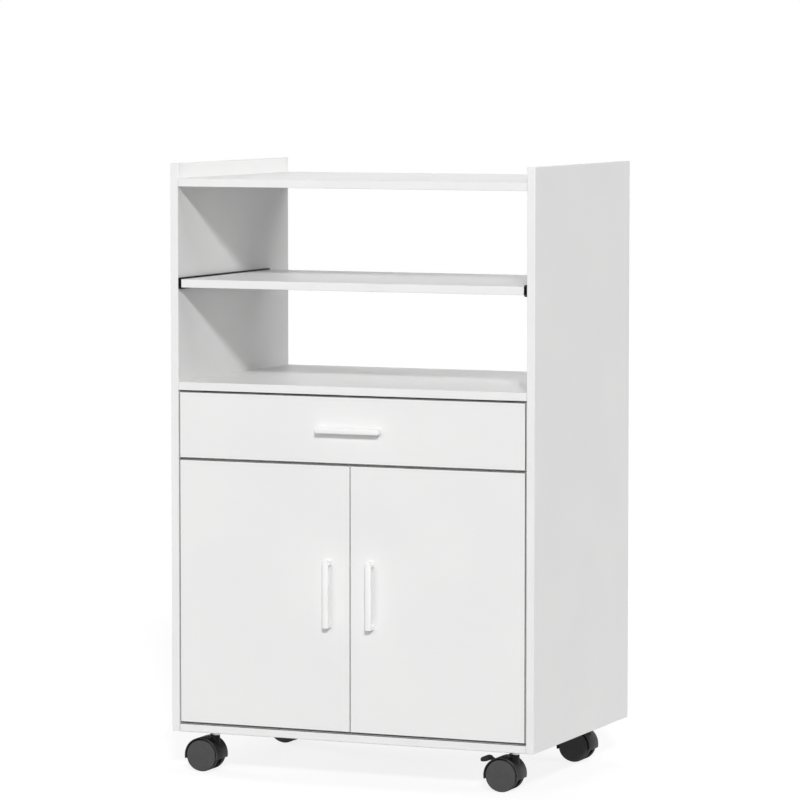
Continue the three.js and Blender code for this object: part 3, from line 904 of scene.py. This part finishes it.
def add_hood(corner, black):
    """The arched shell over both wheels, the web between them and the boss for the kingpin."""
    node = f"{corner}_caster_hood"
    low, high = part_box(node)
    axle = middle(f"{corner}_caster_axle")
    swivel = middle(f"{corner}_caster_plate")
    radius = axle.x - low.x + HOOD_SWELL
    inside = radius - HOOD_WALL
    hub = (axle.x, axle.z)
    cut_out, cut_in = lower_cut_angle(radius), lower_cut_angle(inside)
    over = arc(hub, radius, -cut_out, 180 + cut_out, HOOD_STEPS)
    under = arc(hub, inside, 180 + cut_in, -cut_in, HOOD_STEPS)
    shell = softened(prism(over + under, Y, low.y, high.y), HOOD_LIP)
    half_round = arc(hub, inside + HOOD_WALL / 2, -cut_in, 180 + cut_in, HOOD_STEPS)
    web_low, web_high = axle.y - HOOD_WEB / 2, axle.y + HOOD_WEB / 2
    web = softened(prism(half_round, Y, web_low, web_high), WEB_EASE)
    boss_low = axle.z - HOOD_DROP + BOSS_RISE
    top = high.z
    boss = turned(
        [
            (0.0, boss_low),
            (BOSS_RADIUS, boss_low),
            *arc((BOSS_RADIUS - BOSS_EDGE, top - BOSS_EDGE), BOSS_EDGE, 0, 90, 4),
            (0.0, top),
        ],
        (swivel.x, swivel.y, 0.0),
        Z,
        HOOD_STEPS,
    )
    wells = [
        turned([(0.0, a), (inside, a), (inside, b), (0.0, b)], (axle.x, 0.0, axle.z), Y, WHEEL_STEPS)
        for a, b in ((low.y - MM, web_low), (web_high, high.y + MM))
    ]
    boss = combined("DIFFERENCE", boss, *wells)
    hood = combined("UNION", shell, web, boss)
    cutters = [
        turned(
            [(0.0, axle.z), (PIN_BORE, axle.z), (PIN_BORE, top + MM), (0.0, top + MM)],
            (swivel.x, swivel.y, 0.0),
            Z,
            BORE_STEPS,
        ),
        turned(
            [(0.0, low.y), (AXLE_BORE, low.y), (AXLE_BORE, high.y), (0.0, high.y)],
            (axle.x, 0.0, axle.z),
            Y,
            BORE_STEPS,
        ),
    ]
    if corner in BRAKED:
        cutters.append(lever_slot(corner))
    stand_in(node, "shell", smooth(combined("DIFFERENCE", hood, *cutters)), black)


def lever_slot(corner):
    """The slot that the lever's neck comes out of, measured from the lever's box."""
    low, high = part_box(f"{corner}_brake_lever")
    centre = (low.y + high.y) / 2
    half = LEVER_NECK_WIDTH / 2 + SLOT_SIDE_GAP
    return box(
        (high.x - SLOT_FORWARD, centre - half, low.z - SLOT_BELOW),
        (high.x + SLOT_BACKWARD, centre + half, high.z + SLOT_ABOVE),
    )


CURVE_STEPS = 8


def quadratic(start, control, end):
    """Points on the curve from start, which is left out, past the control point to end."""
    points = []
    for i in range(1, CURVE_STEPS + 1):
        t = i / CURVE_STEPS
        a, b, c = (1 - t) ** 2, 2 * t * (1 - t), t * t
        points.append(tuple(a * p + b * q + c * r for p, q, r in zip(start, control, end)))
    return points


def add_lever(corner, charcoal):
    """The brake lever: a paddle to step on, a neck through the hood and a pin in its web. The places in its
    outlines are measured, in millimetres, from the tip and the lowest point of the lever's box."""
    node = f"{corner}_brake_lever"
    low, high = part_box(node)
    centre = (low.y + high.y) / 2

    def at(x, z):
        return (low.x + x * MM, low.z + z * MM)

    under, over = at(16.0, 7.38), at(16.0, 11.38)
    paddle = [under, over]
    paddle += quadratic(over, at(12.5, 14.18), at(8.0, 13.18))
    paddle += quadratic(at(8.0, 13.18), at(2.5, 11.78), at(0.0, 8.2))
    paddle += quadratic(at(0.0, 8.2), at(-0.1, 5.3), at(3.0, 4.9))
    paddle += quadratic(at(3.0, 4.9), at(9.0, 4.1), under)[:-1]
    neck = [
        at(25.5, 6.78),
        at(18.5, 10.98),
        at(13.5, 11.78),
        at(13.5, 8.18),
        at(19.5, 5.78),
        at(23.5, 0.98),
    ]
    half = LEVER_PADDLE_WIDTH / 2
    tip, back = LEVER_TIP_ROUND, LEVER_BACK_ROUND
    tip_x, back_x = low.x - LEVER_TIP_SPARE, low.x + LEVER_PADDLE_LENGTH
    plan = (
        arc((tip_x + tip, centre - half + tip), tip, 180, 270, 8)
        + arc((back_x - back, centre - half + back), back, 270, 360, 6)
        + arc((back_x - back, centre + half - back), back, 0, 90, 6)
        + arc((tip_x + tip, centre + half - tip), tip, 90, 180, 8)
    )
    blade = combined(
        "INTERSECT",
        prism(paddle, Y, centre - half, centre + half),
        prism(plan, Z, low.z - MM, high.z + MM),
    )
    blade = softened(blade, LEVER_PADDLE_EASE, segments=3, angle=40)
    neck_half = LEVER_NECK_WIDTH / 2
    stem = softened(prism(neck, Y, centre - neck_half, centre + neck_half), LEVER_NECK_EASE)
    pivot = at(24.5, 3.78)
    barrel_half = neck_half + LEVER_BARREL_PROUD
    barrel = round_bar(LEVER_BARREL_RADIUS, pivot, centre - barrel_half, centre + barrel_half)
    pin = round_bar(LEVER_PIN_RADIUS, pivot, centre - HOOD_WEB / 2, centre + HOOD_WEB / 2)
    stand_in(node, "pedal", smooth(combined("UNION", blade, stem, barrel, pin)), charcoal)


def round_bar(radius, place, start, end):
    """A short bar along Y with its ends chamfered, at place in X and Z."""
    profile = [
        (0.0, start),
        (radius - BAR_CHAMFER, start),
        (radius, start + BAR_CHAMFER),
        (radius, end - BAR_CHAMFER),
        (radius - BAR_CHAMFER, end),
        (0.0, end),
    ]
    return turned(profile, (place[0], 0.0, place[1]), Y, BAR_STEPS)


def add_swivel_plate(corner, zinc):
    """The plate screwed under the cart, with the pressed raceway and the kingpin under it."""
    node = f"{corner}_caster_plate"
    low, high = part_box(node)
    centre = middle(node)
    inner = (high.x - low.x) / 2 - PLATE_CORNER
    square = []
    for turn, (x, y) in enumerate(((inner, inner), (-inner, inner), (-inner, -inner), (inner, -inner))):
        square += arc((centre.x + x, centre.y + y), PLATE_CORNER, 90 * turn, 90 * turn + 90, 8)
    bottom = high.z - PLATE_THICKNESS
    plate = softened(prism(square, Z, bottom, high.z), PLATE_EASE)
    cup_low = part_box(f"{corner}_caster_hood")[HIGH].z + RACEWAY_GAP
    cup = RACEWAY_RADIUS
    inside_plate = high.z - PLATE_THICKNESS / 2
    profile = [
        (0.0, inside_plate),
        (cup + RACEWAY_FLANGE, inside_plate),
        (cup + RACEWAY_FLANGE, bottom - 0.1 * MM),
        (cup + 0.5 * MM, bottom - 0.6 * MM),
        (cup, bottom - RACEWAY_FLANGE),
        (cup, cup_low + RACEWAY_ROUND),
        (cup - 0.5 * MM, cup_low + 0.5 * MM),
        (cup - RACEWAY_ROUND, cup_low),
        (KINGPIN_RADIUS, cup_low),
        (KINGPIN_RADIUS, low.z + KINGPIN_CHAMFER),
        (KINGPIN_RADIUS - KINGPIN_CHAMFER, low.z),
        (0.0, low.z),
    ]
    race = turned(profile, (centre.x, centre.y, 0.0), Z, HOOD_STEPS)
    stand_in(node, "swivel", smooth(combined("UNION", plate, race)), zinc)


def add_axle(corner, zinc):
    """The rod through both wheels, chamfered at its ends."""
    node = f"{corner}_caster_axle"
    low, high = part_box(node)
    centre = middle(node)
    rod = round_bar((high.z - low.z) / 2, (centre.x, centre.z), low.y, high.y)
    stand_in(node, "rod", smooth(rod), zinc)


def add_casters(ribs, black, grey_plastic, charcoal, zinc):
    for corner in CORNERS:
        add_swivel_plate(corner, zinc)
        add_hood(corner, black)
        add_axle(corner, zinc)
        add_wheel(f"{corner}_fore_wheel", -1, ribs, grey_plastic)
        add_wheel(f"{corner}_aft_wheel", 1, ribs, grey_plastic)
        if corner in BRAKED:
            add_lever(corner, charcoal)


# ---- Geometry Nodes ----


def grown(obj, tree, settings):
    """The plain mesh that a Geometry Nodes tree makes of an object with these settings. The object goes."""
    step = obj.modifiers.new("grown", "NODES")
    step.node_group = tree
    for socket in tree.interface.items_tree:
        if socket.in_out == "INPUT" and socket.name in settings:
            step[socket.identifier] = settings[socket.name]
    mesh = plain_mesh(obj)
    obj.modifiers.clear()
    bpy.data.objects.remove(obj)
    return mesh


def new_tree(name, inputs):
    """A tree with these named inputs, (name, type, value), and one geometry going out."""
    tree = bpy.data.node_groups.new(name, "GeometryNodeTree")
    for label, kind, value in inputs:
        socket = tree.interface.new_socket(label, in_out="INPUT", socket_type=f"NodeSocket{kind}")
        if value is not None:
            socket.default_value = value
    tree.interface.new_socket("Geometry", in_out="OUTPUT", socket_type="NodeSocketGeometry")
    return Nodes(tree)


def end_tree(nodes, geometry, finish):
    real = nodes.add("GeometryNodeRealizeInstances", {"Geometry": geometry}).outputs[0]
    inputs = {"Geometry": real, "Material": finish}
    painted = nodes.add("GeometryNodeSetMaterial", inputs).outputs[0]
    nodes.add("NodeGroupOutput", {"Geometry": painted})
    return nodes.tree


def upwards(nodes, height):
    """A vector along Z with this height."""
    return nodes.add("ShaderNodeCombineXYZ", {"Z": height}).outputs[0]


def moved(nodes, geometry, offset):
    inputs = {"Geometry": geometry, "Translation": offset}
    return nodes.add("GeometryNodeTransform", inputs).outputs[0]


def domed_head(nodes, radius, height):
    """A short cylinder with two narrowing steps on it. Its foot stands a little below the surface."""
    rim = nodes.add(
        "GeometryNodeMeshCylinder",
        {"Vertices": 28, "Radius": radius, "Depth": nodes.math("MULTIPLY", height, 0.8)},
    )
    lifted = moved(nodes, rim.outputs["Mesh"], upwards(nodes, nodes.math("MULTIPLY", height, 0.2)))
    mesh, top = lifted, rim.outputs["Top"]
    for rise, narrowing in ((0.25, 0.86), (0.15, 0.72)):
        grow = nodes.add(
            "GeometryNodeExtrudeMesh",
            {
                "Mesh": mesh,
                "Selection": top,
                "Offset Scale": nodes.math("MULTIPLY", height, rise),
                "Individual": False,
            },
        )
        top = grow.outputs["Top"]
        inputs = {"Geometry": grow.outputs["Mesh"], "Selection": top, "Scale": narrowing}
        mesh = nodes.add("GeometryNodeScaleElements", inputs).outputs[0]
    return mesh


def cross_head_tree():
    """Heads with a cross recess on a mesh's points, each standing along the points' "facing" vector."""
    nodes = new_tree(
        "cross_heads",
        (
            ("Points", "Geometry", None),
            ("Radius", "Float", 4 * MM),
            ("Height", "Float", 2 * MM),
            ("Recess Length", "Float", 4 * MM),
            ("Recess Width", "Float", 1 * MM),
            ("Recess Depth", "Float", 1 * MM),
            ("Seed", "Int", 7),
            ("Finish", "Material", None),
        ),
    )
    ask = nodes.add("NodeGroupInput").outputs
    head = domed_head(nodes, ask["Radius"], ask["Height"])
    deep = nodes.math("MULTIPLY", ask["Recess Depth"], 2.0)
    arms = []
    for sizes in (("Recess Length", "Recess Width"), ("Recess Width", "Recess Length")):
        size = nodes.add("ShaderNodeCombineXYZ", {"X": ask[sizes[0]], "Y": ask[sizes[1]], "Z": deep})
        arm = nodes.add("GeometryNodeMeshCube", {"Size": size.outputs[0]}).outputs["Mesh"]
        arms.append(moved(nodes, arm, upwards(nodes, ask["Height"])))
    recessed = nodes.add(
        "GeometryNodeMeshBoolean",
        {"Mesh 1": head, "Self Intersection": True},
        operation="DIFFERENCE",
        solver="EXACT",
    )
    for arm in arms:
        nodes.tree.links.new(arm, recessed.inputs["Mesh 2"])
    facing = nodes.add("GeometryNodeInputNamedAttribute", {"Name": "facing"}, data_type="FLOAT_VECTOR")
    stand = nodes.add("FunctionNodeAlignRotationToVector", {"Vector": facing.outputs[0]}, axis="Z")
    spin = nodes.add("FunctionNodeRandomValue", {2: 0.0, 3: 2 * math.pi, "Seed": ask["Seed"]})
    twist = nodes.add(
        "FunctionNodeAxisAngleToRotation", {"Axis": (0.0, 0.0, 1.0), "Angle": spin.outputs[1]}
    )
    inputs = {"Rotation": stand.outputs[0], "Rotate By": twist.outputs[0]}
    turned_in = nodes.add("FunctionNodeRotateRotation", inputs, rotation_space="LOCAL")
    heads = nodes.add(
        "GeometryNodeInstanceOnPoints",
        {
            "Points": ask["Points"],
            "Instance": recessed.outputs["Mesh"],
            "Rotation": turned_in.outputs[0],
        },
    )
    return end_tree(nodes, heads.outputs[0], ask["Finish"])


def nail_tree():
    """Flat nail heads at an even spacing along a mesh's edges, all facing one way."""
    nodes = new_tree(
        "nail_row",
        (
            ("Path", "Geometry", None),
            ("Spacing", "Float", 90 * MM),
            ("Radius", "Float", 2 * MM),
            ("Height", "Float", 0.4 * MM),
            ("Facing", "Vector", (0.0, 1.0, 0.0)),
            ("Finish", "Material", None),
        ),
    )
    ask = nodes.add("NodeGroupInput").outputs
    curve = nodes.add("GeometryNodeMeshToCurve", {"Mesh": ask["Path"]}).outputs[0]
    inputs = {"Curve": curve, "Length": ask["Spacing"]}
    spaced = nodes.add("GeometryNodeResampleCurve", inputs, mode="LENGTH").outputs[0]
    stand = nodes.add("FunctionNodeAlignRotationToVector", {"Vector": ask["Facing"]}, axis="Z")
    head = domed_head(nodes, ask["Radius"], ask["Height"])
    inputs = {"Points": spaced, "Instance": head, "Rotation": stand.outputs[0]}
    heads = nodes.add("GeometryNodeInstanceOnPoints", inputs)
    return end_tree(nodes, heads.outputs[0], ask["Finish"])


def rib_tree():
    """Ribs from a hub to a rim round an axis along Y, added to the mesh that comes in."""
    nodes = new_tree(
        "wheel_ribs",
        (
            ("Wheel", "Geometry", None),
            ("Count", "Int", 12),
            ("Hub Radius", "Float", 8 * MM),
            ("Rim Radius", "Float", 21 * MM),
            ("Thickness", "Float", 1 * MM),
            ("Depth", "Float", 6 * MM),
            ("Centre", "Vector", (0.0, 0.0, 0.0)),
            ("Finish", "Material", None),
        ),
    )
    ask = nodes.add("NodeGroupInput").outputs
    reach = nodes.math("SUBTRACT", ask["Rim Radius"], ask["Hub Radius"])
    both = nodes.math("ADD", ask["Rim Radius"], ask["Hub Radius"])
    inputs = {"Vertices": ask["Count"], "Radius": nodes.math("MULTIPLY", both, 0.5)}
    ring = nodes.add("GeometryNodeMeshCircle", inputs).outputs[0]
    size = nodes.add("ShaderNodeCombineXYZ", {"X": reach, "Y": ask["Thickness"], "Z": ask["Depth"]})
    rib = nodes.add("GeometryNodeMeshCube", {"Size": size.outputs[0]}).outputs["Mesh"]
    radial = nodes.add(
        "FunctionNodeAlignRotationToVector",
        {"Vector": nodes.add("GeometryNodeInputPosition").outputs[0]},
        axis="X",
    )
    inputs = {"Points": ring, "Instance": rib, "Rotation": radial.outputs[0]}
    ribs = nodes.add("GeometryNodeInstanceOnPoints", inputs).outputs[0]
    upright = nodes.add(
        "GeometryNodeTransform",
        {"Geometry": ribs, "Rotation": (math.pi / 2, 0.0, 0.0), "Translation": ask["Centre"]},
    )
    whole = nodes.add("GeometryNodeJoinGeometry", {0: upright.outputs[0]})
    nodes.tree.links.new(ask["Wheel"], whole.inputs[0])
    return end_tree(nodes, whole.outputs[0], ask["Finish"])


# ---- Fasteners ----

PAN_HEAD = {
    "Radius": 3.8 * MM,
    "Height": 2.2 * MM,
    "Recess Length": 4.2 * MM,
    "Recess Width": 1.0 * MM,
    "Recess Depth": 1.3 * MM,
}
SMALL_HEAD = {
    "Radius": 3.0 * MM,
    "Height": 1.1 * MM,
    "Recess Length": 3.4 * MM,
    "Recess Width": 0.8 * MM,
    "Recess Depth": 0.8 * MM,
}
FLUSH_HEAD = {
    "Radius": 3.2 * MM,
    "Height": 0.28 * MM,
    "Recess Length": 3.6 * MM,
    "Recess Width": 0.8 * MM,
    "Recess Depth": 0.25 * MM,
}
CAM_LOCK = {
    "Radius": 7.4 * MM,
    "Height": 0.35 * MM,
    "Recess Length": 8.0 * MM,
    "Recess Width": 1.6 * MM,
    "Recess Depth": 0.3 * MM,
}
SLIDE_GAUGE = 1.2 * MM
PLATE_HOLE = 14 * MM  # screws of a caster plate from its middle, in X and Y
CUP_SCREW = 24 * MM  # screws of a hinge cup above and below its middle
ARM_SCREW = 18 * MM  # screws of a hinge plate above and below its middle
HINGE_PLATE_HEIGHT = 3.0 * MM  # off the side panel
HINGE_PLATE_MIDDLE = 26 * MM  # in front of the rear end of the arm
ARM_TOP = 11.2 * MM  # rear end of the arm off the side panel
ARM_REAR_SCREW = 7 * MM
SLIDE_SCREWS = (0.07, 0.5, 0.9)  # along a slide, as shares of its length
CAM_FROM_END = 34 * MM
CAM_FROM_EDGE = 62 * MM
NAIL_FROM_EDGE = 6 * MM
NAIL_SPACING = 92 * MM


def add_heads(name, body, spots, tree, sizes, finish):
    """One piece with a head at each (place, facing) of spots."""
    mesh = bpy.data.meshes.new(name)
    mesh.from_pydata([tuple(place) for place, _ in spots], [], [])
    facing = mesh.attributes.new("facing", "FLOAT_VECTOR", "POINT")
    facing.data.foreach_set("vector", [c for _, way in spots for c in way])
    settings = {**sizes, "Seed": len(spots), "Finish": finish.material}
    made = grown(linked("spots", mesh), tree, settings)
    fit_piece(name, smooth(made), body, finish)


def channel_screws(node, side, outward):
    """Three screws along the web of a slide member, facing into its channel."""
    low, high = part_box(node)
    inner_face = low.x if side > 0 else high.x
    outer_face = high.x if side > 0 else low.x
    x = inner_face + side * SLIDE_GAUGE if outward else outer_face - side * SLIDE_GAUGE
    way = (float(side if outward else -side), 0.0, 0.0)
    z = (low.z + high.z) / 2
    length = high.y - low.y
    return [(Vector((x, low.y + share * length, z)), way) for share in SLIDE_SCREWS]


def cam_spots(node, face, way):
    """Cam locks near both ends of a board, on its upper or lower face."""
    low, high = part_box(node)
    z = (low, high)[face].z
    places = []
    for x in (low.x + CAM_FROM_END, high.x - CAM_FROM_END):
        for y in (low.y + CAM_FROM_EDGE, high.y - CAM_FROM_EDGE):
            places.append((Vector((x, y, z)), way))
    return places


def add_slide_screws(heads, steel):
    for slide, inner_body in (("shelf_slide", "sliding_shelf"), ("drawer_slide", "drawer")):
        fixed, moving = [], []
        for name, side in SIDES:
            fixed += channel_screws(f"{name}_{slide}_outer", side, False)
            moving += channel_screws(f"{name}_{slide}_inner", side, True)
        add_heads(f"{slide}_outer_screws", "cabinet", fixed, heads, FLUSH_HEAD, steel)
        add_heads(f"{slide}_inner_screws", inner_body, moving, heads, SMALL_HEAD, steel)


def back_middle(node):
    """The middle of the back of a CAD node's box."""
    place = middle(node)
    place.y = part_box(node)[HIGH].y
    return place


def handle_screws(handle, board, along):
    """A screw behind each foot of a handle, on the back of its board."""
    low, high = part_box(handle)
    spots = []
    for foot in (low[along] + HANDLE_FOOT / 2, high[along] - HANDLE_FOOT / 2):
        place = middle(handle)
        place[along] = foot
        place.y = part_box(board)[HIGH].y
        spots.append((place, BACKWARDS))
    return spots


def add_door_screws(heads, steel):
    """Screws of the hinge cups, the strike plates and the handles, on the backs of the doors and the drawer
    front."""
    for name, _ in SIDES:
        spots = []
        for level in ("upper", "lower"):
            cup = back_middle(f"{name}_{level}_hinge_cup")
            for z in (-CUP_SCREW, CUP_SCREW):
                spots.append((cup + Vector((0.0, 0.0, z)), BACKWARDS))
        spots.append((back_middle(f"{name}_strike_plate"), BACKWARDS))
        body = body_of_node[f"{name}_door"]
        add_heads(f"{name}_door_small_screws", body, spots, heads, FLUSH_HEAD, steel)
        spots = handle_screws(f"{name}_door_handle", f"{name}_door", Z)
        add_heads(f"{name}_handle_screws", body, spots, heads, PAN_HEAD, steel)
    spots = handle_screws("drawer_handle", "drawer_front", X)
    add_heads("drawer_handle_screws", "drawer", spots, heads, PAN_HEAD, steel)


def add_hinge_plate_screws(heads, steel):
    """Two screws in each hinge's plate and one at the rear end of its arm, which hold them to the side."""
    spots = []
    for name, side in SIDES:
        way = (float(-side), 0.0, 0.0)
        for level in ("upper", "lower"):
            low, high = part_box(f"{name}_{level}_hinge_arm")
            wall = high.x if side > 0 else low.x
            level_z = (low.z + high.z) / 2
            plate = (wall - side * HINGE_PLATE_HEIGHT, high.y - HINGE_PLATE_MIDDLE)
            for z in (-ARM_SCREW, ARM_SCREW):
                spots.append((Vector((*plate, level_z + z)), way))
            rear = (wall - side * ARM_TOP, high.y - ARM_REAR_SCREW, level_z)
            spots.append((Vector(rear), way))
    add_heads("hinge_plate_screws", "cabinet", spots, heads, SMALL_HEAD, steel)


def add_cabinet_fasteners(heads, nails, steel):
    """Screws of the caster plates, cam locks of the boards and nails round the back panel."""
    spots = []
    for corner in CORNERS:
        node = f"{corner}_caster_plate"
        centre = middle(node)
        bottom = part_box(node)[HIGH].z - PLATE_THICKNESS
        for x in (-PLATE_HOLE, PLATE_HOLE):
            for y in (-PLATE_HOLE, PLATE_HOLE):
                spots.append((Vector((centre.x + x, centre.y + y, bottom)), DOWN))
    add_heads("caster_screws", "cabinet", spots, heads, PAN_HEAD, steel)
    spots = cam_spots("top_shelf", LOW, DOWN) + cam_spots("fixed_shelf", LOW, DOWN)
    spots += cam_spots("bottom_panel", HIGH, UP)
    add_heads("cam_locks", "cabinet", spots, heads, CAM_LOCK, steel)
    low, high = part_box("back_panel")
    inset = NAIL_FROM_EDGE
    ring = [
        (low.x + inset, high.y, low.z + inset),
        (high.x - inset, high.y, low.z + inset),
        (high.x - inset, high.y, high.z - inset),
        (low.x + inset, high.y, high.z - inset),
    ]
    path = bpy.data.meshes.new("nail_path")
    path.from_pydata(ring, [(0, 1), (1, 2), (2, 3), (3, 0)], [])
    settings = {"Spacing": NAIL_SPACING, "Finish": steel.material}
    fit_piece("back_nails", smooth(grown(linked("path", path), nails, settings)), "cabinet", steel)


# ---- The cart ----

add_camera()
add_lamps()
add_sky()
add_floor()

laminate = white_laminate()
band = white_edge_band()
chipboard = raw_chipboard()
black = black_slide()
zinc = zinc_plate()
steel = bright_screw()
hood_black = moulded_plastic("black_hood", 0.02, 0.028)
charcoal = moulded_plastic("charcoal_lever", 0.055, 0.07)

add_boards(laminate, band, chipboard, dark_joint(), painted_hardboard())
add_handles(white_enamel())
add_hardware(black, zinc, white_plastic())
add_magnets(zinc)
add_casters(rib_tree(), hood_black, grey_wheel(), charcoal, zinc)
cross_heads = cross_head_tree()
add_slide_screws(cross_heads, steel)
add_door_screws(cross_heads, steel)
add_hinge_plate_screws(cross_heads, steel)
add_cabinet_fasteners(cross_heads, nail_tree(), steel)

bpy.context.scene.view_settings.view_transform = "Standard"
